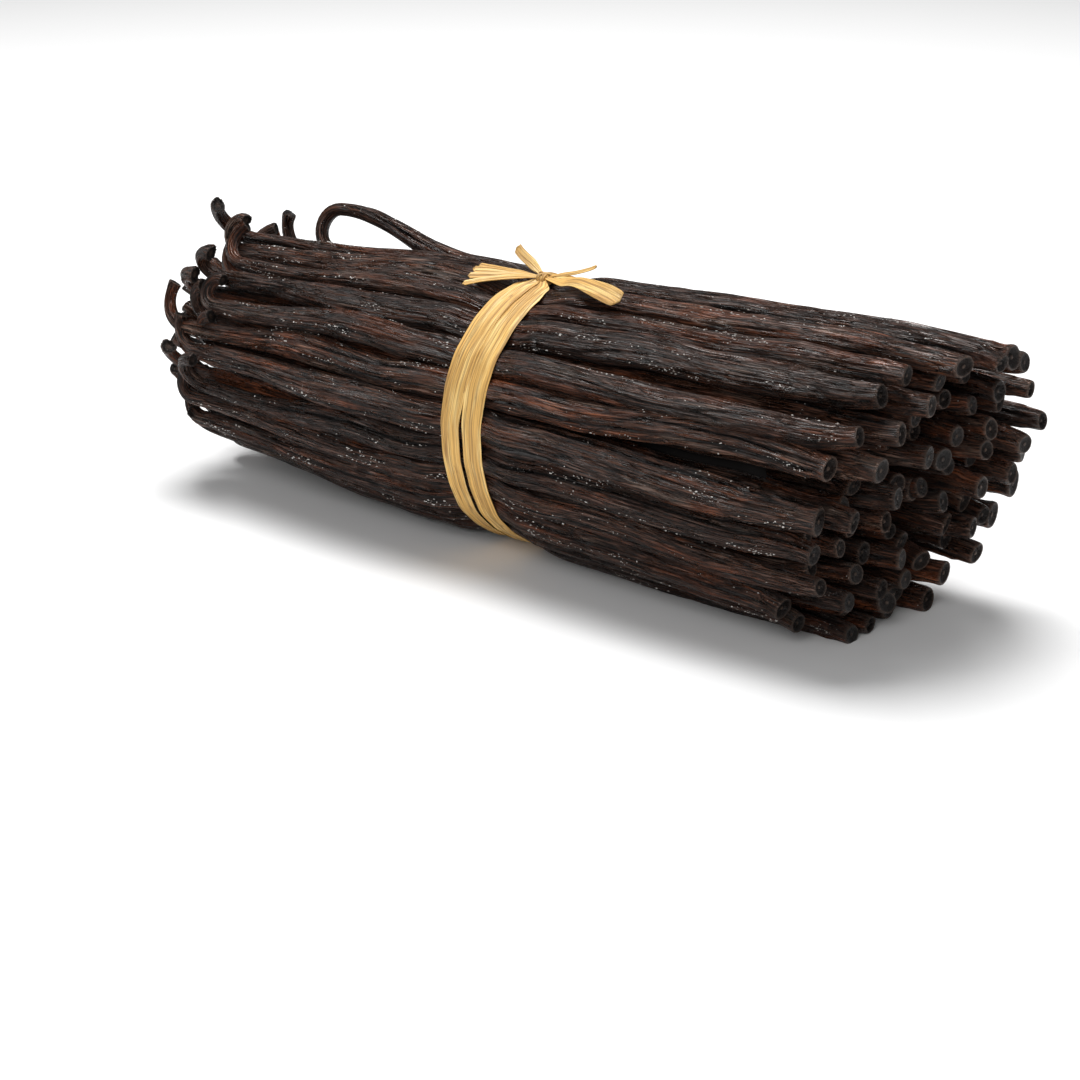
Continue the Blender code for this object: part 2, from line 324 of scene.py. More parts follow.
def add_pod(bm, pod, look, columns, stations, lane):
    """Rolls a grid up into one pod."""
    spot = bm.verts.layers.float_vector["pod_space"]
    tone, groove_layer, end_layer = (bm.verts.layers.float[name] for name in ("tone", "groove", "end"))
    made = add_grid(bm, columns, len(stations), lane)
    for row, (s, shrink, end) in enumerate(stations):
        place = place_on_pod(pod, look, s)
        section = pod_section(pod, look, s)
        for column in range(columns + 1):
            share = (column % columns) / columns
            way = -math.pi / 2 + math.tau * share + 0.45 * math.sin(math.tau * share)
            v = made[row * (columns + 1) + column]
            v.co, v[groove_layer] = skin_point(pod, look, s, way, place, section, shrink)
            v[spot] = (
                s + look.seed,
                section[0] * shrink * math.cos(way),
                section[1] * shrink * math.sin(way),
            )
            v[tone] = look.tone
            v[end_layer] = end
    bmesh.ops.remove_doubles(bm, verts=made, dist=0.000001)


def new_pod_mesh():
    """An empty bmesh with the layers that the pods' skin reads."""
    bm = bmesh.new()
    bm.loops.layers.uv.new("OFBake")
    bm.verts.layers.float_vector.new("pod_space")
    for name in ("tone", "groove", "end"):
        bm.verts.layers.float.new(name)
    return bm


def finish_piece(name, bm, material, node_name):
    """Makes the object, smooth and with its faces pointing out, and ties it to the frame."""
    bmesh.ops.recalc_face_normals(bm, faces=bm.faces)
    mesh = bpy.data.meshes.new(name)
    bm.to_mesh(mesh)
    bm.free()
    mesh.shade_smooth()
    mesh.materials.append(material)
    piece = bpy.data.objects.new(name, mesh)
    bpy.context.scene.collection.objects.link(piece)
    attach(piece, "root")
    if node_name:
        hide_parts(node_name)
    return piece


def add_node(tree, kind, settings=None, inputs=None):
    """Adds a shader node. An input is a value, or the output of another node."""
    made = tree.nodes.new("ShaderNode" + kind)
    for name, value in (settings or {}).items():
        setattr(made, name, value)
    for name, value in (inputs or {}).items():
        if isinstance(value, bpy.types.NodeSocket):
            tree.links.new(value, made.inputs[name])
        else:
            made.inputs[name].default_value = value
    return made


def calculate(tree, operation, first, second=0.0, clamp=False):
    settings = {"operation": operation, "use_clamp": clamp}
    return add_node(tree, "Math", settings, {0: first, 1: second}).outputs[0]


def mix_colours(tree, factor, first, second, way="MIX"):
    settings = {"data_type": "RGBA", "blend_type": way}
    return add_node(tree, "Mix", settings, {0: factor, 6: first, 7: second}).outputs[2]


def ramp(tree, value, low, high):
    """0 where value is under low, 1 where it is over high, smooth between."""
    inputs = {"Value": value, "From Min": low, "From Max": high}
    return add_node(tree, "MapRange", {"interpolation_type": "SMOOTHSTEP"}, inputs).outputs["Result"]


def new_group(name, sockets):
    """A shader node group with float or vector inputs as (name, kind, value), and float outputs."""
    group = bpy.data.node_groups.new(name, "ShaderNodeTree")
    for label, direction, kind, value in sockets:
        socket = group.interface.new_socket(name=label, in_out=direction, socket_type=kind)
        if value is not None:
            socket.default_value = value
    return group, group.nodes.new("NodeGroupInput").outputs, group.nodes.new("NodeGroupOutput").inputs


def make_lines_group():
    """Thin lines that run lengthwise, wander, join and part, as wrinkles and fibres do. 1 on a line, 0 off it."""
    group, given, result = new_group(
        "lengthwise_lines",
        [
            ("Place", "INPUT", "NodeSocketVector", None),
            ("Along", "INPUT", "NodeSocketFloat", 50.0),
            ("Across", "INPUT", "NodeSocketFloat", 1000.0),
            ("Width", "INPUT", "NodeSocketFloat", 0.08),
            ("Line", "OUTPUT", "NodeSocketFloat", None),
        ],
    )
    stretch = add_node(group, "CombineXYZ", None, {0: given["Along"], 1: given["Across"], 2: given["Across"]})
    placed = add_node(
        group, "VectorMath", {"operation": "MULTIPLY"}, {0: given["Place"], 1: stretch.outputs[0]}
    ).outputs[0]
    field = add_node(group, "TexNoise", None, {"Vector": placed, "Scale": 1.0, "Detail": 2.0, "Roughness": 0.55})
    away = calculate(group, "ABSOLUTE", calculate(group, "SUBTRACT", field.outputs[0], 0.5))
    near = calculate(group, "SUBTRACT", 1.0, calculate(group, "DIVIDE", away, given["Width"]), clamp=True)
    group.links.new(calculate(group, "POWER", near, 1.5), result["Line"])
    return group


def make_patches_group():
    """Soft patches, longer than they are wide. Amount is the share of the surface that they cover."""
    group, given, result = new_group(
        "patches",
        [
            ("Place", "INPUT", "NodeSocketVector", None),
            ("Along", "INPUT", "NodeSocketFloat", 60.0),
            ("Across", "INPUT", "NodeSocketFloat", 200.0),
            ("Amount", "INPUT", "NodeSocketFloat", 0.3),
            ("Patch", "OUTPUT", "NodeSocketFloat", None),
        ],
    )
    stretch = add_node(group, "CombineXYZ", None, {0: given["Along"], 1: given["Across"], 2: given["Across"]})
    placed = add_node(
        group, "VectorMath", {"operation": "MULTIPLY"}, {0: given["Place"], 1: stretch.outputs[0]}
    ).outputs[0]
    field = add_node(group, "TexNoise", None, {"Vector": placed, "Scale": 1.0, "Detail": 3.0, "Roughness": 0.6})
    edge = calculate(group, "SUBTRACT", 0.72, calculate(group, "MULTIPLY", given["Amount"], 0.45))
    over = calculate(group, "SUBTRACT", field.outputs[0], edge)
    group.links.new(calculate(group, "MULTIPLY", over, 9.0, clamp=True), result["Patch"])
    return group


lengthwise_lines = make_lines_group()
patches = make_patches_group()


def add_lines(tree, place, along, across, width):
    settings = {"node_tree": lengthwise_lines}
    inputs = {"Place": place, "Along": along, "Across": across, "Width": width}
    return add_node(tree, "Group", settings, inputs).outputs["Line"]


def add_patches(tree, place, along, across, amount):
    settings = {"node_tree": patches}
    inputs = {"Place": place, "Along": along, "Across": across, "Amount": amount}
    return add_node(tree, "Group", settings, inputs).outputs["Patch"]


SKIN_RIDGE = (0.088, 0.036, 0.020, 1)
# Near-black groove colour: painted shade in the skin's folds and grooves.
SKIN_GROOVE_SHADE = (0.0030, 0.0011, 0.0006, 1)
SKIN_RED = (0.230, 0.058, 0.016, 1)
SKIN_BLOOM = (0.250, 0.190, 0.150, 1)
# Pale speck colour: partly vanillin grains, partly painted glints of light on the oily skin.
SKIN_SPECK_AND_GLINT = (0.62, 0.59, 0.56, 1)
# End colours: the lighter rim is partly the scar's own colour and partly painted highlight; the near-black hollow is
# painted shade in the dish.
SCAR_RIM_AND_HIGHLIGHT = (0.130, 0.085, 0.064, 1)
SCAR_HOLLOW_SHADE = (0.014, 0.008, 0.0058, 1)


def make_pod_skin():
    material = bpy.data.materials.new("pod_skin")
    material.use_nodes = True
    tree = material.node_tree
    shader = tree.nodes["Principled BSDF"]
    place = add_node(tree, "Attribute", {"attribute_name": "pod_space"}).outputs["Vector"]
    tone, groove, end = (
        add_node(tree, "Attribute", {"attribute_name": name}).outputs["Fac"] for name in ("tone", "groove", "end")
    )

    wide = add_lines(tree, place, 55, 1300, 0.070)
    narrow = add_lines(tree, place, 110, 2700, 0.110)
    folds = calculate(tree, "MULTIPLY", wide, 0.85)
    folds = calculate(tree, "MAXIMUM", folds, calculate(tree, "MULTIPLY", narrow, 0.6))
    folds = calculate(tree, "MAXIMUM", folds, groove)

    reds = add_patches(tree, place, 35, 260, 0.42)
    bloom = add_patches(tree, place, 55, 330, 0.34)
    oily = add_patches(tree, place, 110, 420, 0.60)
    frost = add_patches(tree, place, 95, 250, 0.22)

    # The skin is painted near black down its wrinkle lines and grooves: painted shade in the folds, over the bump
    # that shapes them.
    colour = mix_colours(tree, ramp(tree, folds, 0.0, 0.70), SKIN_RIDGE, SKIN_GROOVE_SHADE)
    off_folds = calculate(tree, "SUBTRACT", 1.0, folds, clamp=True)
    red_share = calculate(tree, "MULTIPLY", calculate(tree, "MULTIPLY", reds, off_folds), 0.55)
    colour = mix_colours(tree, red_share, colour, SKIN_RED)
    bloom_share = calculate(tree, "MULTIPLY", calculate(tree, "MULTIPLY", bloom, off_folds), 0.36)
    colour = mix_colours(tree, bloom_share, colour, SKIN_BLOOM)

    # Pale specks, more of them in the frost patches: partly vanillin grains, partly painted glints on the oily skin.
    cells = add_node(tree, "TexVoronoi", {"feature": "F1"}, {"Vector": place, "Scale": 2600.0, "Randomness": 1.0})
    inside = calculate(tree, "LESS_THAN", cells.outputs["Distance"], 0.36)
    picked = add_node(tree, "SeparateColor", None, {0: cells.outputs["Color"]}).outputs[0]
    picked = calculate(tree, "ADD", picked, calculate(tree, "MULTIPLY", frost, 0.30))
    picked = calculate(tree, "GREATER_THAN", picked, 1.0)
    specks_and_glints = calculate(tree, "MULTIPLY", inside, picked)
    colour = mix_colours(tree, specks_and_glints, colour, SKIN_SPECK_AND_GLINT)

    # The ends of the pods: a lighter rim, partly the scar's own colour and partly painted highlight, a near-black
    # hollow that is painted shade in the dish, and a lighter middle again.
    scarred = ramp(tree, end, 0.15, 0.60)
    scar_colour_and_shade = mix_colours(tree, ramp(tree, end, 0.52, 0.74), SCAR_RIM_AND_HIGHLIGHT, SCAR_HOLLOW_SHADE)
    scar_colour_and_shade = mix_colours(tree, ramp(tree, end, 0.88, 1.0), scar_colour_and_shade, SCAR_RIM_AND_HIGHLIGHT)
    colour = mix_colours(tree, scarred, colour, scar_colour_and_shade)
    shade = add_node(tree, "MapRange", None, {"Value": tone, "To Min": 0.60, "To Max": 1.30}).outputs["Result"]
    colour = add_node(tree, "VectorMath", {"operation": "SCALE"}, {0: colour, "Scale": shade}).outputs[0]
    tree.links.new(colour, shader.inputs["Base Color"])

    grain = add_node(tree, "TexNoise", None, {"Vector": place, "Scale": 1500.0, "Detail": 2.0}).outputs[0]
    rough = add_node(tree, "MapRange", None, {"Value": oily, "To Min": 0.48, "To Max": 0.24}).outputs["Result"]
    rough = calculate(tree, "ADD", rough, calculate(tree, "MULTIPLY", calculate(tree, "SUBTRACT", grain, 0.5), 0.20))
    rough = calculate(tree, "ADD", rough, calculate(tree, "MULTIPLY", scarred, 0.06), clamp=True)
    tree.links.new(rough, shader.inputs["Roughness"])
    shader.inputs["Specular IOR Level"].default_value = 0.38

    height = calculate(tree, "MULTIPLY", wide, -1.0)
    height = calculate(tree, "ADD", height, calculate(tree, "MULTIPLY", narrow, -0.85))
    height = calculate(tree, "ADD", height, calculate(tree, "MULTIPLY", grain, 0.28))
    height = calculate(tree, "ADD", height, calculate(tree, "MULTIPLY", specks_and_glints, 0.9))
    bump = add_node(tree, "Bump", None, {"Strength": 1.0, "Distance": 0.00060, "Height": height})
    tree.links.new(bump.outputs["Normal"], shader.inputs["Normal"])
    return material


pods = lay_out_pods()
looks = give_looks(pods)
pod_skin = make_pod_skin()
outer_count = sum(pod.ring == 0 for pod in pods)
for piece_number in range(POD_PIECES):
    members = range(
        outer_count * piece_number // POD_PIECES,
        outer_count * (piece_number + 1) // POD_PIECES,
    )
    outer_mesh = new_pod_mesh()
    for lane_number, number in enumerate(members):
        add_pod(
            outer_mesh,
            pods[number],
            looks[number],
            POD_COLUMNS,
            pod_stations(pods[number], looks[number], BODY_STEP, TIP_STEP, STEM_ROWS),
            lane_of(lane_number, len(members)),
        )
    finish_piece(f"outer_pods_{piece_number + 1}", outer_mesh, pod_skin, "vanilla_pods")


# ---------------------------------------------------------------- the inner pods
# The same pods, packed behind the outer ring. They show in the gaps between the outer pods and at both ends
# of the bundle, so their tips have the same shape as the outer ones on a coarser grid, and the middles of their
# bodies are plainer.

INNER_TIP_STEP = 0.0011
INNER_STEM_ROWS = 18


def make_inner_piece(name, members, columns, body_step):
    bm = new_pod_mesh()
    for lane_number, number in enumerate(members):
        add_pod(
            bm,
            pods[number],
            looks[number],
            columns,
            pod_stations(pods[number], looks[number], body_step, INNER_TIP_STEP, INNER_STEM_ROWS),
            lane_of(lane_number, len(members)),
        )
    finish_piece(name, bm, pod_skin, "vanilla_pods")


second_ring = [n for n, pod in enumerate(pods) if pod.ring == 1]
heart = [n for n, pod in enumerate(pods) if pod.ring > 1]
for half, half_name in enumerate(("a", "b")):
    make_inner_piece(f"second_ring_{half_name}", second_ring[half::2], 34, 0.0032)
    make_inner_piece(f"heart_pods_{half_name}", heart[half::2], 30, 0.0080)


# ---------------------------------------------------------------- the core
# Between the innermost pods lie seeds, oil and crushed stems. One round core stands for what can't be seen,
# and it stops light from passing through the bundle. Its near-black colour is painted shade deep inside the bundle.

CORE_RADIUS = 0.0205
CORE_ENDS = (-0.072, 0.072)
# Near black: painted shade deep inside the bundle.
CORE_SHADE_COLOUR = (0.006, 0.0035, 0.0025, 1)


def make_core():
    low, high = CORE_ENDS
    bm = bmesh.new()
    bmesh.ops.create_cone(
        bm, cap_ends=True, segments=40, radius1=CORE_RADIUS, radius2=CORE_RADIUS, depth=high - low
    )
    lengthwise = [e for e in bm.edges if abs(e.verts[0].co.z - e.verts[1].co.z) > CORE_RADIUS]
    bmesh.ops.subdivide_edges(bm, edges=lengthwise, cuts=24)
    for v in bm.verts:
        uneven = 1 + 0.05 * noise.noise(v.co * 260)
        x = v.co.z + (low + high) / 2
        slim = bundle_radius(x) / BUNDLE_RADIUS * uneven
        v.co = MIDDLE + Vector((x, v.co.x * slim, v.co.y * slim))
    material = bpy.data.materials.new("core")
    material.use_nodes = True
    tree = material.node_tree
    shader = tree.nodes["Principled BSDF"]
    where = add_node(tree, "TexCoord").outputs["Object"]
    mottle = add_node(tree, "TexNoise", None, {"Vector": where, "Scale": 600.0, "Detail": 3.0}).outputs[0]
    tree.links.new(mix_colours(tree, mottle, SKIN_GROOVE_SHADE, CORE_SHADE_COLOUR), shader.inputs["Base Color"])
    shader.inputs["Roughness"].default_value = 0.8
    finish_piece("core", bm, material, None)


make_core()


# ---------------------------------------------------------------- the crystals
# Good pods grow frost: white needles and grains of vanillin, under a millimetre long, that come out of the skin
# in patches and lie along its wrinkles.

CRYSTAL_COUNT = 4200
CRYSTAL_LENGTH = (0.00024, 0.00075)
OFF_TIE = 0.0062
CRYSTAL_COLOUR = (0.74, 0.72, 0.69, 1)


def frosted(look, s, way):
    """How frosted a place is. Most of the skin has nearly none, and a few patches a lot."""
    field = noise.noise(Vector((s * 60 + look.seed * 2, 1.6 * math.cos(way), 1.6 * math.sin(way))))
    return max(0.0, field - 0.30) * 5.0 + 0.003


def make_crystals():
    chance = random.Random(23)
    bm = bmesh.new()
    made = 0
    while made < CRYSTAL_COUNT:
        number = chance.randrange(outer_count)
        pod, look = pods[number], looks[number]
        s = chance.uniform(0.004, pod.tip_x - pod.neck_x)
        way = math.radians(chance.uniform(0, 180))
        if chance.random() > frosted(look, s, way):
            continue
        place = place_on_pod(pod, look, s)
        section = pod_section(pod, look, s)
        point, _ = skin_point(pod, look, s, way, place, section)
        ahead, _ = skin_point(
            pod, look, s + 0.0005, way, place_on_pod(pod, look, s + 0.0005), pod_section(pod, look, s + 0.0005)
        )
        if abs(point.x - MIDDLE.x - TIE_X) < OFF_TIE or point.z < 0.001:
            continue
        length = chance.uniform(*CRYSTAL_LENGTH)
        width = length * chance.uniform(0.28, 0.65)
        grain = bmesh.ops.create_icosphere(bm, subdivisions=1, radius=0.5)["verts"]
        along = (ahead - point).normalized()
        aim = along.to_track_quat("X", "Z") @ Quaternion(
            (0, 0, 1), chance.uniform(-0.8, 0.8)
        ) @ Quaternion((1, 0, 0), chance.uniform(0, math.pi))
        for v in grain:
            size = Vector((length, width, width * 0.8))
            v.co *= chance.uniform(0.62, 1.25)
            v.co = point + aim @ Vector((v.co.x * size.x, v.co.y * size.y, v.co.z * size.z))
        made += 1
    material = bpy.data.materials.new("crystals")
    material.use_nodes = True
    tree = material.node_tree
    shader = tree.nodes["Principled BSDF"]
    where = add_node(tree, "TexCoord").outputs["Object"]
    mottle = add_node(tree, "TexNoise", None, {"Vector": where, "Scale": 900.0, "Detail": 2.0}).outputs[0]
    dull = mix_colours(tree, ramp(tree, mottle, 0.35, 0.65), (0.30, 0.26, 0.23, 1), CRYSTAL_COLOUR)
    tree.links.new(dull, shader.inputs["Base Color"])
    shader.inputs["Roughness"].default_value = 0.30
    finish_piece("crystals", bm, material, None)


make_crystals()


# ---------------------------------------------------------------- the raffia band
# A strip of dried palm leaf, pleated along its fibres, wound once round the bundle and drawn tight.
# It lies in straight runs from pod to pod, and in its lower half it has split into two ribbons.

BAND_WIDTH = 0.0110
RAFFIA_THICKNESS = 0.00030
PLEAT_DEPTH = 0.00046
SPLIT_OPEN = 0.0008
KNOT_HEIGHT = 0.0010
RAFFIA_PALE = (0.94, 0.66, 0.250, 1)
RAFFIA_GOLD = (0.78, 0.465, 0.130, 1)
RAFFIA_BROWN = (0.200, 0.085, 0.024, 1)


def new_raffia_mesh():
    bm = bmesh.new()
    bm.loops.layers.uv.new("OFBake")
    bm.verts.layers.float_vector.new("strip_space")
    bm.verts.layers.float.new("browning_and_shade")
    return bm


def pleats(across, along, width, seed, folds):
    """Height of the pleated strip at a place across it. across runs from -1 to 1."""
    drift = 0.30 * noise.noise(Vector((along * 45, seed, 1.5)))
    phase = (across * 0.5 + 0.5 + drift * 0.12) * folds + seed
    saw = phase % 1.0
    skew = 0.62
    rise = saw / skew if saw < skew else (1 - saw) / (1 - skew)
    strength = 0.62 + 0.60 * noise.noise(Vector((along * 30, math.floor(phase) * 3.1 + seed, 4.5)))
    cup = 0.35 * across * across
    return (rise * strength + cup) * PLEAT_DEPTH * min(1.0, width / 0.0030)


def add_strip(bm, line, columns, folds, seed, lane, close=False, browning_and_shade=0.0):
    """A pleated strip rolled from a grid. line holds (middle, across, up, width) from end to end of the strip."""
    spot = bm.verts.layers.float_vector["strip_space"]
    age_layer = bm.verts.layers.float["browning_and_shade"]
    rows = len(line)
    made = add_grid(bm, columns, rows, lane)
    along = 0.0
    for row, (middle, across_way, up, width) in enumerate(line):
        if row:
            along += (middle - line[row - 1][0]).length
        for column in range(columns + 1):
            share = (column % columns) / columns
            way = math.tau * share - math.pi / 2
            way -= 0.35 * math.cos(way)
            across = math.cos(way)
            side = math.sin(way)
            height = RAFFIA_THICKNESS / 2 * math.copysign(abs(side) ** 0.5, side)
            height += pleats(across, along, width, seed, folds)
            v = made[row * (columns + 1) + column]
            v.co = middle + across_way * (across * width / 2) + up * height
            v[spot] = (along + seed, across * width / 2, height * 0.2)
            v[age_layer] = browning_and_shade if close else browning_and_shade * (row / (rows - 1)) ** 4
    if not close:
        for row in (0, rows - 1):
            ring = made[row * (columns + 1) : (row + 1) * (columns + 1)]
            for column in range(columns // 2 + 1):
                facing = ring[columns - column]
                facing.co = ring[column].co = (facing.co + ring[column].co) / 2
    bmesh.ops.remove_doubles(bm, verts=made, dist=0.000002)


def band_crests():
    """(angle, radius) of each outer pod's crest under the band, in order round the bundle."""
    crests = []
    for number in range(outer_count):
        pod, look = pods[number], looks[number]
        s = pod.tip_x - TIE_X
        centre, outward, _ = place_on_pod(pod, look, s)
        off = centre - MIDDLE - ALONG_X * TIE_X
        angle = math.atan2(off.z, off.y) % math.tau
        crests.append((angle, off.length + pod_section(pod, look, s)[1] * 1.02))
    return sorted(crests)


def band_radius(crests, angle):
    """The strip is drawn straight from crest to crest."""
    angle %= math.tau
    for n, (start, r0) in enumerate(crests):
        stop, r1 = crests[(n + 1) % len(crests)]
        span = (stop - start) % math.tau
        ahead = (angle - start) % math.tau
        if ahead <= span:
            first = Vector((r0, 0))
            second = Vector((r1 * math.cos(span), r1 * math.sin(span)))
            ray = Vector((math.cos(ahead), math.sin(ahead)))
            edge = second - first
            return (first.x * edge.y - first.y * edge.x) / (ray.x * edge.y - ray.y * edge.x)
    return crests[0][1]


def band_line(crests, offset, width, opening):
    """One ribbon of the band, from the knot round the bundle and back to it."""
    line = []
    rows = 240
    top = math.pi / 2
    for row in range(rows + 1):
        turn = math.tau * row / rows
        angle = top + turn
        smooth = sum(band_radius(crests, angle + step) for step in (-0.05, -0.025, 0, 0.025, 0.05)) / 5
        to_knot = min(turn, math.tau - turn)
        gather = through([(0.0, 0.22), (0.16, 0.86), (0.34, 1.0)], to_knot)
        split = through([(1.05, 0.0), (1.55, 1.0), (2.7, 1.0), (3.3, 0.0)], turn)
        radius = smooth + 0.00025 + KNOT_HEIGHT * max(0.0, 1 - to_knot / 0.10)
        x = TIE_X + (offset + opening * split) * gather
        x += 0.0004 * noise.noise(Vector((turn * 1.6, offset * 900, 2.5)))
        outward = Vector((0, math.cos(angle), math.sin(angle)))
        middle = MIDDLE + ALONG_X * x + outward * radius
        middle.z = max(middle.z, 0.00055)
        narrow = 1 - 0.18 * split
        line.append((middle, ALONG_X, outward, width * gather * narrow))
    return line


def make_raffia():
    material = bpy.data.materials.new("raffia")
    material.use_nodes = True
    tree = material.node_tree
    shader = tree.nodes["Principled BSDF"]
    place = add_node(tree, "Attribute", {"attribute_name": "strip_space"}).outputs["Vector"]
    browning_and_shade = add_node(tree, "Attribute", {"attribute_name": "browning_and_shade"}).outputs["Fac"]
    fibres = add_lines(tree, place, 45, 2400, 0.10)
    veins = add_lines(tree, place, 18, 900, 0.06)
    pale = add_patches(tree, place, 60, 600, 0.50)
    stains = add_patches(tree, place, 160, 420, 0.22)
    colour = mix_colours(tree, pale, RAFFIA_GOLD, RAFFIA_PALE)
    colour = mix_colours(tree, calculate(tree, "MULTIPLY", fibres, 0.42), colour, RAFFIA_BROWN)
    colour = mix_colours(tree, calculate(tree, "MULTIPLY", veins, 0.70), colour, RAFFIA_BROWN)
    colour = mix_colours(tree, calculate(tree, "MULTIPLY", stains, 0.55), colour, RAFFIA_BROWN)
    # Browning: on the loose strips it is their own browned ends; on the knot it is even and is painted shade of its
    # folds.
    colour = mix_colours(tree, calculate(tree, "MULTIPLY", browning_and_shade, 0.6), colour, RAFFIA_BROWN)
    tree.links.new(colour, shader.inputs["Base Color"])
    rough = add_node(tree, "MapRange", None, {"Value": pale, "To Min": 0.62, "To Max": 0.46}).outputs["Result"]
    tree.links.new(rough, shader.inputs["Roughness"])
    height = calculate(tree, "MULTIPLY", fibres, -0.6)
    height = calculate(tree, "ADD", height, calculate(tree, "MULTIPLY", veins, -1.0))
    bump = add_node(tree, "Bump", None, {"Strength": 0.8, "Distance": 0.00010, "Height": height})
    tree.links.new(bump.outputs["Normal"], shader.inputs["Normal"])
    return material


raffia = make_raffia()
crests = band_crests()
band = new_raffia_mesh()
left_ribbon = band_line(crests, -BAND_WIDTH * 0.23, BAND_WIDTH * 0.56, -SPLIT_OPEN * 0.40)
right_ribbon = band_line(crests, BAND_WIDTH * 0.22, BAND_WIDTH * 0.57, SPLIT_OPEN * 0.60)
add_strip(band, left_ribbon, 60, 4.3, 1.3, (0.01, 0.49))
add_strip(band, right_ribbon, 60, 4.1, 4.1, (0.51, 0.99))
finish_piece("raffia_band", band, raffia, "raffia_tie")


# ---------------------------------------------------------------- the knot
# The strip's two ends are crossed, drawn through each other and pulled down hard, so the knot is small and creased.
# It is browned all over with painted shade of its tight folds. It is four tight turns of the strip round each other.

KNOT_TOP = MIDDLE + Vector((TIE_X, 0, band_radius(crests, math.pi / 2) + KNOT_HEIGHT))
KNOT_TURNS = (
    (90, 90, 0.0014, 0.0010, 0.0019, (0.0, 0.0, 0.0)),
    (38, 84, 0.0016, 0.0011, 0.0016, (0.0003, 0.0, 0.0001)),
    (-32, 80, 0.0015, 0.0011, 0.0015, (-0.0003, 0.0, 0.0002)),
    (10, 12, 0.0014, 0.0014, 0.0014, (0.0, 0.0, -0.0003)),
)


def wrap_line(centre, first, second, up, size_a, size_b, width, rows=44):
    """A closed turn of strip round centre, in the plane of first and second."""
    line = []
    for row in range(rows + 1):
        turn = math.tau * row / rows
        out = first * math.cos(turn) + second * math.sin(turn)
        middle = centre + first * size_a * math.cos(turn) + second * size_b * math.sin(turn)
        across = out.cross(first.cross(second)).normalized().cross(out)
        line.append((middle, across, out, width * (1 + 0.12 * math.sin(2 * turn + width * 5000))))
    return line


knot = new_raffia_mesh()
for wrap, (heading, tilt, size_a, size_b, width, shift) in enumerate(KNOT_TURNS):
    flat = Vector((math.cos(math.radians(heading)), math.sin(math.radians(heading)), 0))
    steep = Quaternion(flat, math.radians(tilt)) @ flat.cross(Vector((0, 0, -1)))
    line = wrap_line(KNOT_TOP + Vector(shift), flat, steep, Vector((0, 0, 1)), size_a, size_b, width)
    # The knot's even browning is painted shade of its tight folds.
    add_strip(knot, line, 28, 2.3, wrap + 0.7, lane_of(wrap, len(KNOT_TURNS)), close=True, browning_and_shade=0.42)
finish_piece("raffia_knot", knot, raffia, "raffia_tie")


# ---------------------------------------------------------------- the loose ends
# What is left of the strip after tying: on one side cut strands that fan out over the pods and a short end that
# stands up, and on the other side a flattened bow loop, browned where it is folded, and one thin end.

def end_line(heading, length, width, lift, bend, roll, widths=((0.0, 0.35), (0.45, 1.0)), rows=30):
    """A loose end that leaves the knot, arches a little and comes down on the round of the bundle.

    roll turns it about its own line, so that the edge nearer the front lies lower.
    """
    line = []
    spot = Vector((KNOT_TOP.x, KNOT_TOP.y, 0))
    for row in range(rows + 1):
        t = row / rows
        way = math.radians(heading + bend * t)
        ahead = Vector((math.cos(way), math.sin(way), 0))
        if row:
            spot = spot + ahead * (length / rows)
        wide = width * through(widths, t)
        turned = math.radians(roll) * min(1.0, 3 * t)
        off_axis = spot.y - MIDDLE.y
        surface = MIDDLE.z + math.sqrt(bundle_radius(spot.x - MIDDLE.x) ** 2 - off_axis**2)
        surface += 0.0006 + 0.35 * wide * math.sin(turned)
        arch = 0.0005 * math.sin(math.pi * min(t * 1.15, 1)) + lift * t
        height = max((KNOT_TOP.z + 0.0003) * (1 - t) + surface * t + arch, surface)
        side = Vector((-math.sin(way), math.cos(way), 0))
        across = side * math.cos(turned) + Vector((0, 0, math.copysign(math.sin(turned), side.y)))
        line.append((Vector((spot.x, spot.y, height)), across, ahead.cross(across), wide))
    return line


LOOP_WIDTHS = ((0.0, 0.28), (0.35, 0.60), (0.84, 1.0), (0.95, 0.96), (1.0, 0.62))
LOOSE_ENDS = (
    (198, 0.0152, 0.0017, 0.0004, 2, 26, 2.0, 0.00),
    (203, 0.0162, 0.0018, 0.0002, 2, 26, 2.0, 0.10),
    (208, 0.0158, 0.0017, 0.0003, 1, 30, 2.0, 0.00),
    (213, 0.0168, 0.0018, 0.0001, 2, 32, 2.0, 0.05),
    (220, 0.0180, 0.0013, 0.0000, 3, 36, 2.0, 0.00),
    (157, 0.0112, 0.0024, 0.0034, 5, 50, 3.0, 0.10),
    (8, 0.0130, 0.0012, 0.0022, 4, 30, 2.0, 0.35),
)
LOOP_LAYERS = (
    (-20, 0.0300, 0.0046, 0.0000, 0, 34, 0.60),
    (-19, 0.0286, 0.0030, 0.0004, 0, 40, 1.00),
)
ends = new_raffia_mesh()
lanes = len(LOOSE_ENDS) + len(LOOP_LAYERS)
for n, (heading, length, width, lift, bend, roll, folds, browning_and_shade) in enumerate(LOOSE_ENDS):
    line = end_line(heading, length, width, lift, bend, roll)
    add_strip(ends, line, 26, folds, n * 1.9 + 0.4, lane_of(n, lanes), browning_and_shade=browning_and_shade)
for n, (heading, length, width, lift, bend, roll, browning_and_shade) in enumerate(LOOP_LAYERS):
    line = end_line(heading, length, width, lift, bend, roll, LOOP_WIDTHS)
    add_strip(ends, line, 34, 4.0, n * 2.3 + 0.9, lane_of(len(LOOSE_ENDS) + n, lanes), browning_and_shade=browning_and_shade)
finish_piece("raffia_ends", ends, raffia, "raffia_tie")


# ---------------------------------------------------------------- floor, light and camera
# A plain pale floor under soft studio light: one large soft lamp overhead, one low at the front and a weak fill.

FLOOR_SIZE = 8.0
FLOOR_COLOUR = (0.88, 0.88, 0.88, 1)
CAMERA_AZIMUTH = math.radians(37.8)
CAMERA_PITCH = math.radians(20.6)
CAMERA_LENS = 86.7
TIE_IN_VIEW = Vector((0.0009, 0.0294, 0.581))


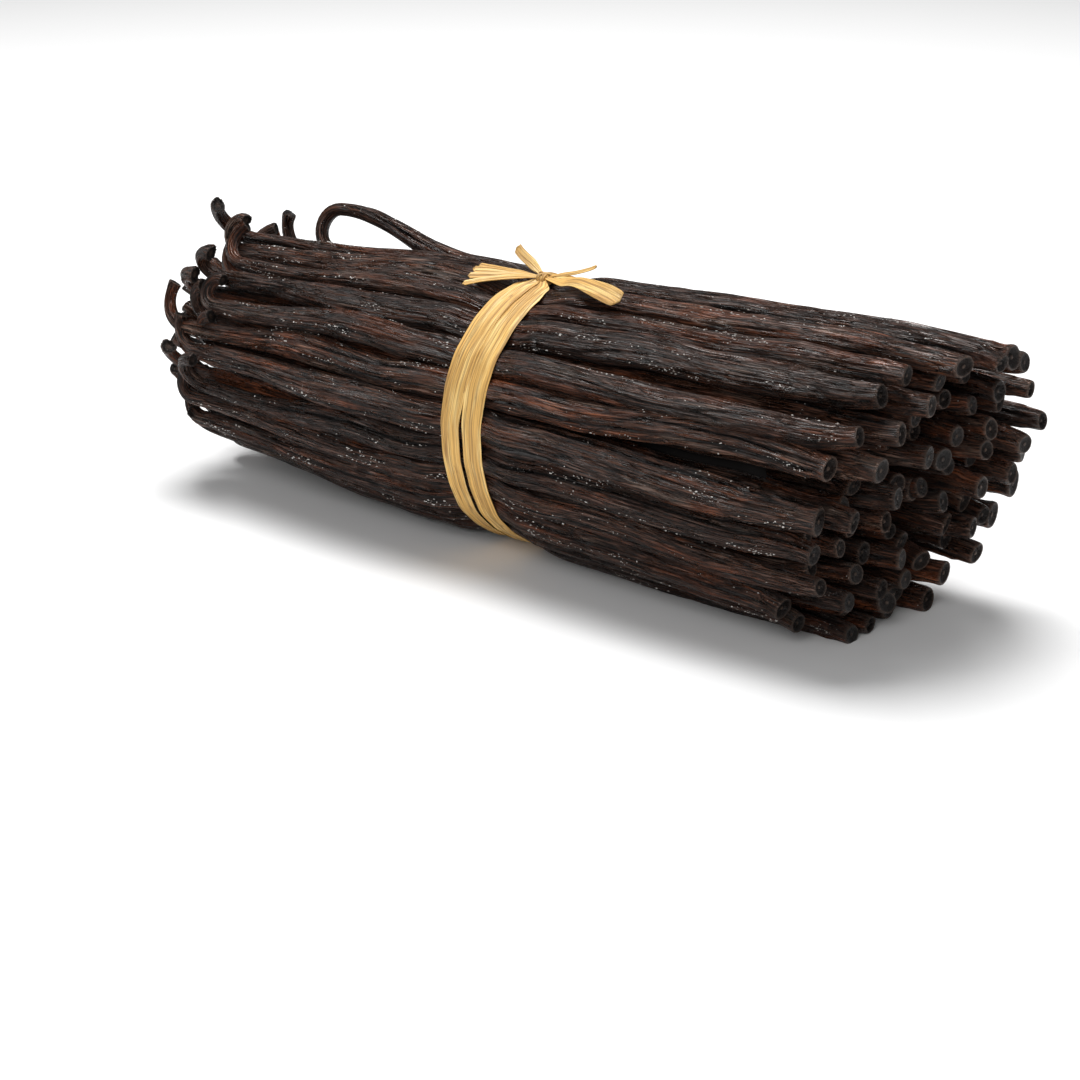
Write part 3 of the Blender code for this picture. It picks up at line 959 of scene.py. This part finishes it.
def make_floor():
    bm = bmesh.new()
    bmesh.ops.create_grid(bm, x_segments=1, y_segments=1, size=FLOOR_SIZE / 2)
    mesh = bpy.data.meshes.new("floor")
    bm.to_mesh(mesh)
    bm.free()
    material = bpy.data.materials.new("floor")
    material.use_nodes = True
    shader = material.node_tree.nodes["Principled BSDF"]
    shader.inputs["Base Color"].default_value = FLOOR_COLOUR
    shader.inputs["Roughness"].default_value = 0.7
    shader.inputs["Specular IOR Level"].default_value = 0.1
    mesh.materials.append(material)
    floor = bpy.data.objects.new("floor", mesh)
    bpy.context.scene.collection.objects.link(floor)


def add_lamp(name, place, size, power):
    """A soft square lamp that faces the bundle."""
    lamp = bpy.data.lights.new(name, "AREA")
    lamp.shape = "SQUARE"
    lamp.size = size
    lamp.energy = power
    lamp.color = (1, 1, 1)
    holder = bpy.data.objects.new(name, lamp)
    bpy.context.scene.collection.objects.link(holder)
    holder.location = place
    holder.rotation_euler = (MIDDLE - Vector(place)).to_track_quat("-Z", "Y").to_euler()


def make_camera():
    right = Vector((math.cos(CAMERA_AZIMUTH), math.sin(CAMERA_AZIMUTH), 0))
    level = Vector((-math.sin(CAMERA_AZIMUTH), math.cos(CAMERA_AZIMUTH), 0))
    ahead = level * math.cos(CAMERA_PITCH) - Vector((0, 0, 1)) * math.sin(CAMERA_PITCH)
    up = right.cross(ahead)
    data = bpy.data.cameras.new("camera")
    data.lens = CAMERA_LENS
    data.sensor_width = 36
    data.clip_start = 0.01
    data.clip_end = 50
    camera = bpy.data.objects.new("camera", data)
    bpy.context.scene.collection.objects.link(camera)
    camera.location = MIDDLE - right * TIE_IN_VIEW.x - up * TIE_IN_VIEW.y - ahead * TIE_IN_VIEW.z
    camera.rotation_euler = ahead.to_track_quat("-Z", "Y").to_euler()
    bpy.context.scene.camera = camera


make_floor()
make_camera()
add_lamp("overhead", (-0.20, 0.20, 0.95), 0.6, 13.5)
add_lamp("front", (0.35, -0.85, 0.60), 0.6, 4.2)
world = bpy.data.worlds.new("studio")
world.use_nodes = True
world.node_tree.nodes["Background"].inputs["Color"].default_value = (1, 1, 1, 1)
world.node_tree.nodes["Background"].inputs["Strength"].default_value = 0.22
bpy.context.scene.world = world
bpy.context.scene.view_settings.view_transform = "Standard"
